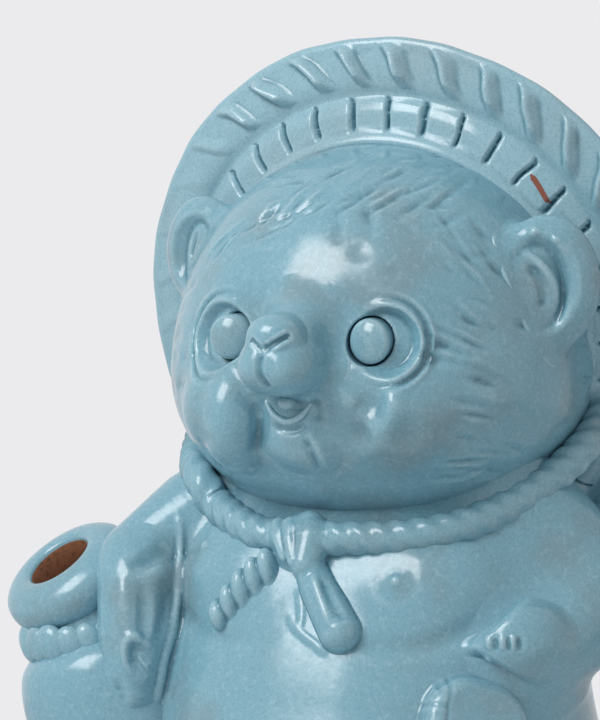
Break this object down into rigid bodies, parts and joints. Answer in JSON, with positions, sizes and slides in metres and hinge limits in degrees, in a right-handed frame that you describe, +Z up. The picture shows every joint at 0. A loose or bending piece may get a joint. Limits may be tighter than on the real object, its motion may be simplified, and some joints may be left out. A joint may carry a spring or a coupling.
{
  "type": "tanuki figurine",
  "caption": "Standing glazed stoneware raccoon-dog figurine with a straw hat on its back, a knotted hat cord, a flask and an account book; an ornament that stands on a flat base.",
  "frame": {"origin": "middle of the flat underside that the figurine stands on, on its plane of left and right", "axes": "+Z up through the head, -Y is where the face looks, +X is the figure's own left"},
  "size_m": [0.1693, 0.1475, 0.2445],
  "materials": {
    "glaze": "satin pale blue glaze, mottled, thin on ridges and pooled in recesses",
    "eye_glaze": "glossier pale blue glaze",
    "bare_clay": "unglazed red-brown clay"
  },
  "bodies": {
    "root": {"torso_front_shell": "glaze", "torso_back_shell": "glaze", "head_shell": "glaze", "muzzle": "glaze", "nose_button": "glaze", "lower_jaw": "glaze", "tongue": "glaze", "right_ear": "glaze", "left_ear": "glaze", "hat_brim": "glaze", "hat_crown": "glaze", "hat_cord": "glaze", "cord_knot": "glaze", "cord_short_tail": "glaze", "cord_long_tail": "glaze", "right_arm": "glaze", "right_hand": "glaze", "left_arm": "glaze", "left_hand": "glaze", "account_book": "glaze", "flask_body": "glaze", "flask_mouth_ring": "glaze", "flask_cord": "glaze", "right_foot": "glaze", "left_foot": "glaze", "tail": "glaze", "right_eye": "eye_glaze", "left_eye": "eye_glaze", "base_slab": "bare_clay"}
  },
  "joints": []
}
